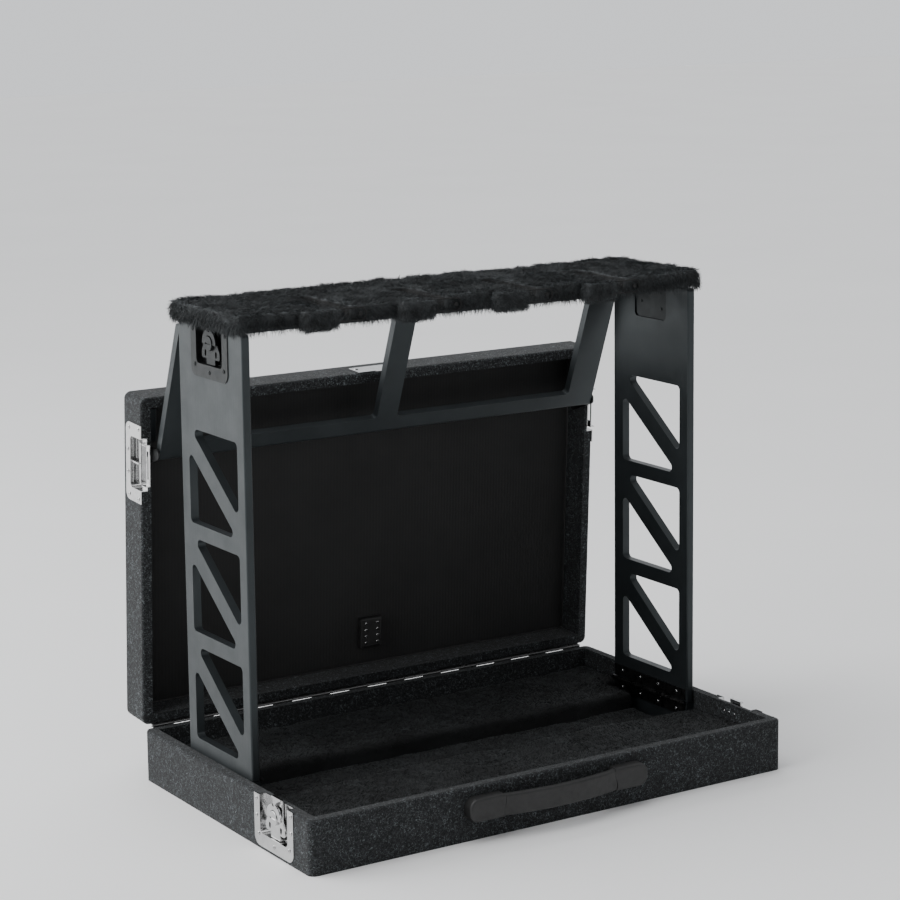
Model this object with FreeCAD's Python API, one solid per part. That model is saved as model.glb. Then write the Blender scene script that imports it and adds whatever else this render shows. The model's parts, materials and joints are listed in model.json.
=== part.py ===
import FreeCAD, Part
import math
import os

# Folding guitar rack that packs into its own carpeted case. Millimetres.
# Origin: centre of the tray's underside. +X along the case, +Y to the back, +Z up.
# The lid stands open behind the tray, two side panels stand in the tray, and a fur-covered
# neck rail lies on the panels and hangs from a brace frame that pivots on the lid.

V = FreeCAD.Vector

# --- driving dimensions: case ---
CASE_L = 770.0          # tray and lid, outside length
CASE_D = 476.0          # tray depth, and height of the open lid
TRAY_H = 74.0
LID_T = 56.0            # lid depth, rim to back
PLY = 9.0
CARPET = 3.0
EDGE_R = 10.0           # upright carpeted corners
RIM_R = 4.0             # outer edge of the carpeted rim
HINGE_R = 2.2           # case hinge axis, out from the tray's back and below the lid
CASE_KNUCKLE_R = 1.9
CASE_PIN_R = 1.0
LID_LEAN = 3.0          # degrees that the open lid leans forward
LINING = 2.5

# --- driving dimensions: side panels ---
PANEL_T = 12.0
PANEL_X = 369.0         # outer face
PANEL_Y0 = -55.0
PANEL_D = 182.0
PANEL_TOP = 673.5
PANEL_HINGE_Z = {"left": 72.0, "right": 56.0}
PIN_OFF = 4.0           # panel hinge axis, inside the panel's inner face
KNUCKLE_R = 3.6
PIN_R = 2.0
RUN = 0.05              # radial running clearance
BAY_TOPS = (533.0, 381.0, 229.0)
UPPER_CUT = ((155.0, -4.0), (20.0, -4.0), (20.0, -105.0))
LOWER_CUT = ((159.0, -35.0), (159.0, -135.0), (24.0, -135.0))
CUT_R = 7.0

# --- driving dimensions: twist latches ---
LATCH_Y = -143.0        # tray latches
PANEL_LATCH_Y = PANEL_Y0 + PANEL_D / 2
LATCH_W = 104.0
LATCH_H = 70.0
SHEET = 1.2
PAN_W = 76.0
PAN_H = 53.0
PAN_DEPTH = 9.8
PAN_R = 8.0
KNOB_W = -22.0          # knob centre below the latch's top edge
KNOB_R = 10.0
SHAFT_R = 4.0
HOOK_LIFT = 8.0
HOUSING_N = (-3.6, -1.6)    # the bridge, along the latch's normal from the plate's back
KNOB_N = (-1.3, 2.4)
WING_N = 0.1            # wing pin
KEEPER_DEPTH = 34.0     # keeper pan on the open lid

# --- driving dimensions: neck rail and brace ---
BOARD_Z = 678.0
BOARD_T = 15.0
BOARD_Y = (-53.0, 127.0)
SLOT_X = (-225.0, -75.0, 75.0, 225.0)
SLOT_W = 50.0
SLOT_BACK = 72.0        # back end of the board's slots
FUR_TOP = 9.0
FUR_SIDE = 6.5
FUR_UNDER = 3.0
RAIL_AXIS = (128.5, 674.0)
RAIL_KNUCKLE_R = 3.2
BRACE_AXIS = (205.5, 475.0)
BRACE_X = 366.5
BRACE_T = 12.0
BRACE_LEG = 46.0
BRACE_POST = (-19.0, 15.0)
BRACE_FOOT = 20.0       # bottom rail, along the frame
BRACE_HEAD = 22.0
BRACE_TOP = (RAIL_AXIS[0] + 4.0, RAIL_AXIS[1] - 9.0)
BRACE_RISE = (BRACE_TOP[0] - BRACE_AXIS[0], BRACE_TOP[1] - BRACE_AXIS[1])
BRACE_TILT = math.degrees(math.atan2(-BRACE_RISE[0], BRACE_RISE[1]))
RAIL_HINGE_X = 340.0
CATCH_X = 359.0         # inner side of the recess that the panel hooks rise into
CATCH_Z = BOARD_Z + 8.0
FINGER_PAD = (50.0, 12.0, 23.0)
LOOP_R = 1.0
STUD_R = 3.0
LOOP_ENDS = (-46.0, 31.0)  # stud centres either side of a slot's centre
LOOP_Z = (679.0, 696.0)

# --- driving dimensions: liner pads ---
PAD_X = 369.5
PAD_NOTCH_X = 345.0
FRONT_PAD = (-222.0, -54.0, 50.0)
TROUGH_PAD = (-53.5, 61.5, 24.0)
REAR_PAD = (62.0, 222.0, 47.0)

# --- driving dimensions: lid fittings and handle ---
GUIDE_X = (-34.0, 34.0)
STRAP_X = (-8.0, 28.0)
STRAP_H = (44.0, 90.0)
END_BLOCK_H = (412.0, 458.0)
HANDLE_X = -8.0
HANDLE_Z = 45.0
HANDLE_HALF = 145.0
CAP_L = 54.0
GRIP_BOW = 11.0
SEAM_WAVE = 2.2
GRIP_TRAVEL = 8.0

HALF_L = CASE_L / 2
HALF_D = CASE_D / 2
WALL = PLY + 2 * CARPET
LID_AXIS = (HALF_D + HINGE_R, TRAY_H + 1)
LID_Y = LID_AXIS[0] + 1
LID_Z = LID_AXIS[1] + HINGE_R
KEEPER_H = HALF_D - LATCH_Y   # height of the keeper's centre on the open lid
LINING_T = LID_T - CARPET - PLY - LINING


def box(x, y, z):
    """A box from three (low, high) pairs."""
    return Part.makeBox(x[1] - x[0], y[1] - y[0], z[1] - z[0], V(x[0], y[0], z[0]))


def rod(start, end, radius):
    way = V(*end) - V(*start)
    return Part.makeCylinder(radius, way.Length, V(*start), way)


def fuse(shapes):
    whole = shapes[0]
    for shape in shapes[1:]:
        whole = whole.fuse(shape)
    return whole.removeSplitter()


def cut(shape, *tools):
    for tool in tools:
        shape = shape.cut(tool)
    return shape


def fillet(shape, radius, pick):
    """Round the edges whose ends and direction satisfy pick."""
    edges = []
    for e in shape.Edges:
        a, b = e.Vertexes[0].Point, e.Vertexes[-1].Point
        if pick(a, b):
            edges.append(e)
    return shape.makeFillet(radius, edges)


def upright(a, b):
    return abs(a.x - b.x) < 1e-6 and abs(a.y - b.y) < 1e-6


def along_x(a, b):
    return abs(a.z - b.z) < 1e-6 and abs(a.y - b.y) < 1e-6


def rounded_face(points, radius):
    """A planar face with every corner of the polygon rounded."""
    pts = [V(*p) for p in points]
    edges, joints = [], []
    for i, p in enumerate(pts):
        back = (pts[i - 1] - p).normalize()
        on = (pts[(i + 1) % len(pts)] - p).normalize()
        half = math.acos(max(-1.0, min(1.0, back.dot(on)))) / 2
        reach = radius / math.tan(half)
        middle = p + (back + on).normalize() * (radius / math.sin(half))
        crown = middle + (p - middle).normalize() * radius
        joints.append((p + back * reach, crown, p + on * reach))
    for i, (start, crown, end) in enumerate(joints):
        edges.append(Part.Arc(start, crown, end).toShape())
        edges.append(Part.LineSegment(end, joints[(i + 1) % len(joints)][0]).toShape())
    return Part.Face(Part.Wire(edges))


def mirrored(shape):
    return shape.mirror(V(0, 0, 0), V(1, 0, 0))


def on_side(shape, side):
    """Shapes are drawn on the +X side, which is the right."""
    return shape if side == "right" else mirrored(shape)


def lean(shape):
    """Turn a shape drawn on the upright lid to the lid's resting lean."""
    shape = shape.copy()
    shape.rotate(V(0, LID_AXIS[0], LID_AXIS[1]), V(1, 0, 0), LID_LEAN)
    return shape


def pan_head(point, way, radius=2.9, height=1.1):
    """A screw head with a cross recess, standing on point."""
    point, way = V(*point), V(*way)
    head = Part.makeCylinder(radius, height, point, way)
    top = [e for e in head.Edges if (e.CenterOfMass - point).dot(way) > height * 0.9]
    head = head.makeFillet(height * 0.55, [e for e in top if e.Closed])
    side = way.cross(V(0, 0, 1)) if abs(way.z) < 0.9 else V(1, 0, 0)
    other = way.cross(side)
    for a, b in ((side, other), (other, side)):
        bar = Part.makeBox(0.6, 2.6, 1.0, V(-0.3, -1.3, 0))
        turn = FreeCAD.Rotation(a, b, way, "ZXY")
        bar.Placement = FreeCAD.Placement(point + way * (height * 0.45), turn)
        head = head.cut(bar)
    return head


def dome(point, way, radius=3.0, height=1.4):
    """A rivet head."""
    point, way = V(*point), V(*way)
    head = Part.makeCylinder(radius, height, point, way)
    top = [e for e in head.Edges if (e.CenterOfMass - point).dot(way) > height * 0.9]
    return head.makeFillet(height * 0.8, [e for e in top if e.Closed])


# ---------------------------------------------------------------- case shells
def shell_parts(height, inner_floor):
    """An open-topped carpeted box standing on Z 0: its plywood and its carpet."""
    x, y = HALF_L - CARPET, HALF_D - CARPET
    ply = box((-x, x), (-y, y), (0, height - CARPET))
    ply = fillet(ply, EDGE_R - CARPET, upright)
    hollow = box((-x + PLY, x - PLY), (-y + PLY, y - PLY), (inner_floor, height + 1))
    ply = ply.cut(hollow)
    skin = box((-HALF_L, HALF_L), (-HALF_D, HALF_D), (0, height))
    skin = fillet(skin, EDGE_R, upright)
    skin = fillet(skin, RIM_R, lambda a, b: min(a.z, b.z) > height - 0.1)
    room = box((-HALF_L + WALL, HALF_L - WALL), (-HALF_D + WALL, HALF_D - WALL),
               (inner_floor, height + 1))
    return ply, skin.cut(room).cut(ply)


def wall_pocket(depth_from_rim, height, centre):
    """Room in both end walls for the pan of a recessed latch or keeper."""
    pocket = box((HALF_L - PAN_DEPTH - 0.2, HALF_L + 5),
                 (centre - PAN_W / 2 - 0.2, centre + PAN_W / 2 + 0.2),
                 (height - depth_from_rim - 0.2, height + 5))
    return [pocket, mirrored(pocket)]


def make_tray():
    ply, skin = shell_parts(TRAY_H, PLY)
    pockets = wall_pocket(PAN_H, TRAY_H, LATCH_Y)
    return cut(ply, *pockets), cut(skin, *pockets)


def to_lid(shape):
    """Stand a shape drawn as an open box on its back up as the open lid, leaning."""
    shape = shape.copy()
    shape.rotate(V(0, 0, 0), V(1, 0, 0), 90)
    shape.translate(V(0, LID_Y + LID_T, LID_Z + HALF_D))
    return lean(shape)


def make_lid():
    """The lid is drawn lying on its back: its floor is the lid's outer panel."""
    x, y = HALF_L - CARPET, HALF_D - CARPET
    ply = box((-x, x), (-y, y), (CARPET, LID_T - CARPET))
    ply = fillet(ply, EDGE_R - CARPET, upright)
    floor = CARPET + PLY
    ply = ply.cut(box((-x + PLY, x - PLY), (-y + PLY, y - PLY), (floor, LID_T)))
    skin = box((-HALF_L, HALF_L), (-HALF_D, HALF_D), (0, LID_T))
    skin = fillet(skin, EDGE_R, upright)
    skin = fillet(skin, RIM_R, lambda a, b: abs(a.z - b.z) < 0.1 and not upright(a, b))
    x, y = HALF_L - WALL, HALF_D - WALL
    skin = skin.cut(box((-x, x), (-y, y), (floor, LID_T + 1))).cut(ply)
    pockets = wall_pocket(KEEPER_DEPTH, LID_T, KEEPER_H - HALF_D)
    lining = box((-x + 0.5, x - 0.5), (-y + 0.5, y - 0.5), (floor, floor + LINING))
    return [to_lid(s) for s in (cut(ply, *pockets), cut(skin, *pockets), lining)]


# ---------------------------------------------------------------- case hinge
def leaf_y(y0, y1, z0, z1):
    return box((-HALF_L + 14, HALF_L - 14), (y0, y1), (z0, z1))


def knuckles(axis, radius, bore, spans):
    """Hinge knuckles along X, bored for the pin, over the given X spans."""
    rings = []
    for a, b in spans:
        ring = rod((a, *axis), (b, *axis), radius)
        rings.append(ring.cut(rod((a - 1, *axis), (b + 1, *axis), bore)))
    return rings


def alternate(x0, x1, count, gap, odd):
    """Every other one of count equal lengths between x0 and x1, a gap apart."""
    step = (x1 - x0) / count
    picks = range(1 if odd else 0, count, 2)
    return [(x0 + i * step + gap, x0 + (i + 1) * step - gap) for i in picks]


def make_case_hinge():
    """A leaf on the tray's back, a leaf on the lid's underside, and a long pin."""
    bore = CASE_PIN_R + RUN
    ends = (-HALF_L + 14, HALF_L - 14)
    y, z = LID_AXIS
    clear = CASE_KNUCKLE_R + 0.5
    plates = (leaf_y(HALF_D, HALF_D + 1.2, z - 24, z - 1),
              leaf_y(y + 1, y + 24, LID_Z - 1.2, LID_Z))
    leaves = []
    for odd, plate in zip((False, True), plates):
        for span in alternate(*ends, 23, -0.3, not odd):
            plate = plate.cut(box(span, (y - clear, y + clear), (z - clear, z + clear)))
        rings = knuckles(LID_AXIS, CASE_KNUCKLE_R, bore, alternate(*ends, 23, 0.3, odd))
        hole = rod((ends[0] - 1, y, z), (ends[1] + 1, y, z), bore)
        leaves.append(fuse([plate] + rings).cut(hole))
    pin = rod((ends[0] - 1.5, y, z), (ends[1] + 1.5, y, z), CASE_PIN_R)
    return leaves[0], lean(leaves[1]), pin


# ---------------------------------------------------------------- liner pads
def pad(y0, y1, top, crown=6.0):
    shape = box((-PAD_X, PAD_X), (y0, y1), (PLY, top))
    shape = fillet(shape, crown, lambda a, b: along_x(a, b) and a.z > top - 0.1)
    y = (PANEL_Y0 - 3, PANEL_Y0 + PANEL_D + 3)
    for side in (-1, 1):
        notch = box(sorted((side * PAD_NOTCH_X, side * (PAD_X + 1))), y, (0, 90))
        shape = shape.cut(notch)
    return shape


# ---------------------------------------------------------------- side panels
def make_panel(side):
    """A plywood panel with three bays of paired triangular cut-outs."""
    z0 = PANEL_HINGE_Z[side] + 1
    x0, x1 = PANEL_X - PANEL_T, PANEL_X
    shape = box((x0, x1), (PANEL_Y0, PANEL_Y0 + PANEL_D), (z0, PANEL_TOP))
    across = lambda a, b: abs(a.x - b.x) > 1
    shape = fillet(shape, 5.0, lambda a, b: across(a, b) and a.z > PANEL_TOP - 1)
    lengthwise = lambda a, b: upright(a, b) and abs(a.z - b.z) > 100
    shape = fillet(shape, 2.5, lengthwise)
    for top in BAY_TOPS:
        for corners in (UPPER_CUT, LOWER_CUT):
            points = [(x0 - 1, PANEL_Y0 + y, top + z) for y, z in corners]
            shape = shape.cut(rounded_face(points, CUT_R).extrude(V(PANEL_T + 2, 0, 0)))
    low = PANEL_TOP - PAN_H - 0.15
    window = box((x0 - 1, x1 + 1),
                 (PANEL_LATCH_Y - PAN_W / 2 - 0.15, PANEL_LATCH_Y + PAN_W / 2 + 0.15),
                 (low, PANEL_TOP + 1))
    window = fillet(window, PAN_R, lambda a, b: across(a, b) and a.z < low + 0.1)
    return on_side(shape.cut(window), side)


def panel_axis(side):
    return PANEL_X - PANEL_T - PIN_OFF, PANEL_HINGE_Z[side]


def panel_knuckles(side, odd):
    x, z = panel_axis(side)
    rings = []
    for a, b in alternate(PANEL_Y0 + 4, PANEL_Y0 + PANEL_D - 4, 5, 0.3, odd):
        ring = rod((x, a, z), (x, b, z), KNUCKLE_R)
        rings.append(ring.cut(rod((x, a - 1, z), (x, b + 1, z), PIN_R + RUN)))
    return rings


def panel_leaf(side, upper):
    """One leaf of a panel's hinge, with its share of the knuckles."""
    x, z = panel_axis(side)
    face = PANEL_X - PANEL_T
    y = (PANEL_Y0 + 4, PANEL_Y0 + PANEL_D - 4)
    span = (z + 2, z + 20) if upper else (z - 20, z - 2)
    leaf = box((face - 1.8, face), y, span)
    web = []
    for a, b in alternate(*y, 5, 0.3, upper):
        web.append(box((x + 1, face), (a, b), sorted((z, span[0] if upper else span[1]))))
    whole = fuse([leaf] + web + panel_knuckles(side, upper))
    whole = whole.cut(rod((x, y[0] - 1, z), (x, y[1] + 1, z), PIN_R + RUN))
    for a, b in alternate(*y, 5, -0.3, not upper):
        whole = whole.cut(box((x - 6, face + 1), (a, b), (z - 4.4, z + 4.4)))
    return on_side(whole, side)


def panel_pin(side):
    x, z = panel_axis(side)
    pin = rod((x, PANEL_Y0 + 2, z), (x, PANEL_Y0 + PANEL_D - 2, z), PIN_R)
    return on_side(pin, side)


def cleat(side):
    """The block that a panel stands on, and that its lower hinge leaf is fixed to."""
    block = box((PANEL_X - PANEL_T, PANEL_X), (PANEL_Y0, PANEL_Y0 + PANEL_D),
                (PLY, PANEL_HINGE_Z[side]))
    return on_side(block, side)


def hinge_rivets(side, upper):
    x, z = panel_axis(side)
    face = PANEL_X - PANEL_T - 1.8
    rivets = []
    for i in range(4):
        y = PANEL_Y0 + 24 + i * (PANEL_D - 48) / 3
        rivets.append(on_side(dome((face, y, z + (13 if upper else -13)), (-1, 0, 0)), side))
    return rivets


# ---------------------------------------------------------------- twist latches
# Drawn with X outward from the mounting face, Y across, Z down from the top edge.
def latch_dish(width=LATCH_W, height=LATCH_H, pan_h=PAN_H):
    low = lambda a, b: abs(a.x - b.x) > 0.5 and a.z < -pan_h + 1
    plate = box((0, SHEET), (-width / 2, width / 2), (-height, 0))
    plate = fillet(plate, min(13.0, (height - pan_h) * 0.9), lambda a, b: low(a, b))
    outer = box((-PAN_DEPTH, SHEET), (-PAN_W / 2, PAN_W / 2), (-pan_h, 0))
    outer = fillet(outer, PAN_R, low)
    inner = box((-PAN_DEPTH + SHEET, SHEET + 1), (-PAN_W / 2 + SHEET, PAN_W / 2 - SHEET),
                (-pan_h + SHEET, 1))
    inner = fillet(inner, PAN_R - SHEET, lambda a, b: abs(a.x - b.x) > 0.5 and a.z < -pan_h + 2)
    return plate.fuse(outer).cut(inner).removeSplitter()


def latch_housing():
    """The spade-shaped bridge over the hook, on two legs."""
    low, top = HOUSING_N
    floor = -PAN_DEPTH + SHEET
    face = [(-26, -43), (26, -43), (25, -33), (12, -12), (-12, -12), (-25, -33)]
    body = rounded_face([(low, u, w) for u, w in face], 4.0).extrude(V(top - low, 0, 0))
    crown = rod((low, 0, KNOB_W), (top, 0, KNOB_W), 15.5)
    tab = box((low, top), (-12, 12), (-50.5, -42))
    legs = [box((floor, low), sorted((s * 18.5, s * 20.5)), (-42, -34)) for s in (-1, 1)]
    foot = box((floor, low), (-12, 12), (-50.5, -48.5))
    whole = fuse([body, crown, tab, foot] + legs)
    whole = whole.cut(rod((low - 1, 0, KNOB_W), (top + 1, 0, KNOB_W), SHAFT_R + RUN))
    for s in (-1, 1):
        oval = fuse([rod((low - 1, s * 15, w), (top + 1, s * 15, w), 2.4) for w in (-38, -34)]
                    + [box((low - 1, top + 1), (s * 15 - 2.4, s * 15 + 2.4), (-38, -34))])
        whole = whole.cut(oval)
    return whole


def latch_hook(reach):
    """The sliding plate; its hooked top ends at reach above the latch's top edge."""
    low, top = -PAN_DEPTH + SHEET + 1.0, -PAN_DEPTH + SHEET + 3.0
    plate = box((low, top), (-12, 12), (-46, reach))
    nose = box((low, top + 2.6), (-12, 12), (reach - 2.2, reach))
    slot = box((low - 1, top + 1), (-SHAFT_R - 0.4, SHAFT_R + 0.4),
               (KNOB_W - SHAFT_R - HOOK_LIFT - 0.8, KNOB_W + SHAFT_R + 0.4))
    plate = fuse([plate, nose]).cut(slot)
    return fillet(plate, 3.0, lambda a, b: abs(a.x - b.x) > 1 and a.z < -45)


def latch_knob():
    base, face = KNOB_N
    head = rod((base, 0, KNOB_W), (face, 0, KNOB_W), KNOB_R)
    head = fillet(head, 0.8, lambda a, b: a.x > face - 0.1 and b.x > face - 0.1)
    shaft = rod((-PAN_DEPTH + SHEET + 0.4, 0, KNOB_W), (base, 0, KNOB_W), SHAFT_R)
    knob = head.fuse(shaft)
    knob = knob.cut(box((face - 1.2, face + 1), (-7.5, 7.5), (KNOB_W - 1, KNOB_W + 1)))
    return knob.cut(rod((WING_N, -11, KNOB_W), (WING_N, 11, KNOB_W), 1.1 + RUN))


def latch_wings():
    """A half ring that folds flat round the knob and swings out to turn it."""
    low, top = WING_N - 1.0, WING_N + 1.0
    ring = rod((low, 0, KNOB_W), (top, 0, KNOB_W), 19.0)
    ring = ring.cut(rod((low - 1, 0, KNOB_W), (top + 1, 0, KNOB_W), 11.0))
    ring = ring.cut(box((low - 1, top + 1), (-20, 20), (KNOB_W - 20, KNOB_W - 1.2)))
    notch = rod((low - 1, 0, KNOB_W + 19.5), (top + 1, 0, KNOB_W + 19.5), 4.0)
    pin = rod((WING_N, -12, KNOB_W), (WING_N, 12, KNOB_W), 1.1)
    return fuse([ring.cut(notch), pin])


def latch_screws(seven):
    spots = [(-46, -7), (46, -7), (-41, -54), (41, -54), (0, -61.5)]
    if seven:
        spots += [(-46, -30), (46, -30)]
    return [pan_head((SHEET, u, w), (1, 0, 0)) for u, w in spots]


def place(shape, x, y, z, side):
    shape = shape.copy()
    shape.translate(V(x, y, z))
    return on_side(shape, side)


def at_panel(shape, side):
    return place(shape, PANEL_X, PANEL_LATCH_Y, PANEL_TOP, side)


def at_tray(shape, side):
    return place(shape, HALF_L, LATCH_Y, TRAY_H, side)


# ---------------------------------------------------------------- lid fittings
def at_lid(shape, side):
    """Latch-local shapes turned so that their top edge lies along the lid's rim."""
    shape = shape.copy()
    shape.rotate(V(0, 0, 0), V(1, 0, 0), 90)
    shape.translate(V(HALF_L, LID_Y, LID_Z + KEEPER_H))
    return lean(on_side(shape, side))


def lid_keeper():
    """The upper half of the split dish: a catch bar for the hook and a slotted lip."""
    dish = latch_dish(112.0, 46.0, KEEPER_DEPTH)
    floor = -PAN_DEPTH + SHEET
    bar = box((floor, floor + 5), (-30, 30), (-12, -9.5))
    lip = box((floor - 0.6, floor + 0.6), (-30, 30), (-2, 9))
    rib = box((floor, -1), (-1.2, 1.2), (-KEEPER_DEPTH + SHEET, -12))
    cheeks = [box((floor - 0.6, -1.5), sorted((s * 28.8, s * 30)), (-2, 8)) for s in (-1, 1)]
    ridges = [box((floor, floor + 2.4), (-33, 33), (w, w + 2.4)) for w in (-28, -20)]
    whole = fuse([dish, bar, lip, rib] + cheeks + ridges)
    return whole.cut(box((floor - 2, floor + 2), (-20, 20), (1, 6)))


def keeper_screws():
    spots = [(-50, -7), (50, -7), (-48, -36), (48, -36), (-16, -40), (16, -40)]
    return [pan_head((SHEET, u, w), (1, 0, 0)) for u, w in spots]


def lid_upright(x, t, h):
    """A box in the open lid: X, depth behind the rim and height above its bottom."""
    return box(x, (LID_Y + t[0], LID_Y + t[1]), (LID_Z + h[0], LID_Z + h[1]))


def guide_plate():
    """A chrome plate bent over the rim, where the lid's front edge meets the tray."""
    top = lid_upright(GUIDE_X, (2, 34), (CASE_D, CASE_D + 1.2))
    top = fillet(top, 4.0, lambda a, b: upright(a, b) and a.y > LID_Y + 30)
    screws = [pan_head((x, LID_Y + 24, LID_Z + CASE_D + 1.2), (0, 0, 1), 3.4, 1.2)
              for x in (-26, 26)]
    return lean(top), [lean(s) for s in screws]


def strap_block():
    """The small block on the lining that anchors the case's inner strap."""
    t = (LINING_T - 10, LINING_T)
    block = lid_upright(STRAP_X, t, STRAP_H)
    face = LID_Y + t[0]
    block = fillet(block, 3.0, lambda a, b: max(a.y, b.y) < face + 0.1)
    dots = []
    for x in (STRAP_X[0] + 8, STRAP_X[1] - 8):
        for i in range(4):
            z = LID_Z + STRAP_H[0] + 8 + i * 10
            dots.append(lean(dome((x, face, z), (0, -1, 0), 2.2, 1.1)))
    return lean(block), dots


def end_block(side):
    """A bearer on the lid's end wall, just under its top."""
    x = HALF_L - WALL
    block = lid_upright((x - 12, x), (6, 18), END_BLOCK_H)
    return lean(on_side(fillet(block, 2.0, upright), side))


def brace_pivot(side):
    """An ear on the lid's end wall, reaching out past the rim, with a stub pin."""
    y, z = BRACE_AXIS
    x = (BRACE_X + 0.6, HALF_L - WALL)
    points = [(x[0], y - 8, z - 6.5), (x[0], y + 46, z - 26), (x[0], y + 46, z + 8),
              (x[0], y - 8, z + 6.5)]
    ear = rounded_face(points, 6.0).extrude(V(x[1] - x[0], 0, 0))
    pin = rod((BRACE_X - 22, y, z), (x[1], y, z), 4.0)
    return on_side(fuse([ear, pin]), side)


# ---------------------------------------------------------------- brace frame
def make_brace():
    """Two windows side by side in one leaning panel, bored at its feet."""
    top = math.hypot(*BRACE_RISE)
    x = BRACE_X
    frame = box((-x, x), (-BRACE_T / 2, BRACE_T / 2), (-8.5, top))
    frame = fillet(frame, 4.0, lambda a, b: along_x(a, b))
    for side, post in zip((-1, 1), BRACE_POST):
        lo, hi = sorted((post, side * (x - BRACE_LEG)))
        points = [(lo, -BRACE_T, BRACE_FOOT - 4), (hi, -BRACE_T, BRACE_FOOT - 4),
                  (hi, -BRACE_T, top - BRACE_HEAD), (lo, -BRACE_T, top - BRACE_HEAD)]
        frame = frame.cut(rounded_face(points, 6.0).extrude(V(0, 2 * BRACE_T, 0)))
    bore = 4.0 + RUN
    for side in (-1, 1):
        a, b = sorted((side * (x - 24), side * (x + 2)))
        frame = frame.cut(rod((a, 0, 0), (b, 0, 0), bore))
    frame.rotate(V(0, 0, 0), V(1, 0, 0), BRACE_TILT)
    frame.translate(V(0, *BRACE_AXIS))
    return frame


def rail_hinge(upper):
    """A leaf under the rail board or on the brace frame, with its knuckles."""
    y, z = RAIL_AXIS
    bore = 1.5 + RUN
    ends = (-RAIL_HINGE_X, RAIL_HINGE_X)
    rings = knuckles(RAIL_AXIS, RAIL_KNUCKLE_R, bore, alternate(*ends, 17, 0.3, upper))
    if upper:
        leaf = box(ends, (y - 26, y - 2.4), (BOARD_Z - 1.5, BOARD_Z))
        web = [box(s, (y - 3.2, y), (z + 1.8, BOARD_Z)) for s in alternate(*ends, 17, 0.3, True)]
        skip = alternate(*ends, 17, -0.3, False)
    else:
        leaf = box(ends, (-BRACE_T / 2 - 1.5, -BRACE_T / 2), (-19, -1.5))
        leaf.rotate(V(0, 0, 0), V(1, 0, 0), BRACE_TILT)
        leaf.translate(V(0, *BRACE_TOP))
        web = [box(s, (y - 3.2, y - 1.2), (z - 15, z)) for s in alternate(*ends, 17, 0.3, False)]
        skip = alternate(*ends, 17, -0.3, True)
    whole = fuse([leaf] + web + rings)
    whole = whole.cut(rod((ends[0] - 1, y, z), (ends[1] + 1, y, z), bore))
    for span in skip:
        whole = whole.cut(box(span, (y - 3.6, y + 3.6), (z - 3.6, z + 3.6)))
    return whole


# ---------------------------------------------------------------- neck rail
def comb(x_half, y, z, slot_w, slot_back, corner):
    """A board with four round-ended slots open to the front."""
    board = box((-x_half, x_half), y, z)
    board = fillet(board, corner, upright)
    r = slot_w / 2
    for x in SLOT_X:
        slot = box((x - r, x + r), (y[0] - 1, slot_back - r), (z[0] - 1, z[1] + 1))
        end = Part.makeCylinder(r, z[1] - z[0] + 2, V(x, slot_back - r, z[0] - 1))
        board = board.cut(slot).cut(end)
    return board


def catch_room(x, half_y, z):
    """Both ends' space for the panel hooks, as boxes on the panel latch's centre."""
    room = box(x, (PANEL_LATCH_Y - half_y, PANEL_LATCH_Y + half_y), z)
    return [room, mirrored(room)]


def make_rail_board():
    board = comb(PANEL_X, BOARD_Y, (BOARD_Z, BOARD_Z + BOARD_T), SLOT_W, SLOT_BACK, 8.0)
    return cut(board, *catch_room((CATCH_X, PANEL_X + 1), 18.0, (BOARD_Z - 1, CATCH_Z)))


def make_fur():
    """The fur cover: a thick skin over the board, thin underneath."""
    board = comb(PANEL_X, BOARD_Y, (BOARD_Z, BOARD_Z + BOARD_T), SLOT_W, SLOT_BACK, 8.0)
    y = (BOARD_Y[0] - FUR_SIDE, BOARD_Y[1] + FUR_SIDE)
    z = (BOARD_Z - FUR_UNDER, BOARD_Z + BOARD_T + FUR_TOP)
    fur = comb(PANEL_X + FUR_SIDE, y, z, SLOT_W - 2 * FUR_SIDE, SLOT_BACK - FUR_SIDE, 13.0)
    hinge_room = box((-345, 345), (RAIL_AXIS[0] - 27, y[1] + 1), (z[0] - 1, BOARD_Z))
    hook_rooms = catch_room((CATCH_X - 1, PANEL_X), 20.0, (z[0] - 1, BOARD_Z + 1))
    return cut(fur, board, hinge_room, *hook_rooms)


def rail_keeper(side):
    """The cup in the rail's end that the panel latch's hook rises into."""
    half, wall = 17.9, 1.4
    outer = box((CATCH_X + 0.1, PANEL_X - 0.3),
                (PANEL_LATCH_Y - half, PANEL_LATCH_Y + half), (BOARD_Z, CATCH_Z))
    inner = box((CATCH_X + wall, PANEL_X), (PANEL_LATCH_Y - half + wall,
                PANEL_LATCH_Y + half - wall), (BOARD_Z - 1, CATCH_Z - wall))
    bar = box((PANEL_X - 2.2, PANEL_X - 0.3),
              (PANEL_LATCH_Y - half, PANEL_LATCH_Y + half), (BOARD_Z, BOARD_Z + 3))
    return on_side(fuse([outer.cut(inner), bar]), side)


def finger_pads():
    """Rounded fur pads on the left of each slot's mouth."""
    length, depth, height = FINGER_PAD
    front = BOARD_Y[0] - FUR_SIDE
    pads = []
    for x in SLOT_X:
        centre = x - 34
        y = (front - 3.6 - depth, front - 3.6)
        shape = box((centre - length / 2, centre + length / 2), y, (677.0, 677.0 + height))
        pads.append(fillet(shape, 4.0, lambda a, b, y=y: min(a.y, b.y) < y[0] + 0.1))
    return pads


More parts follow.
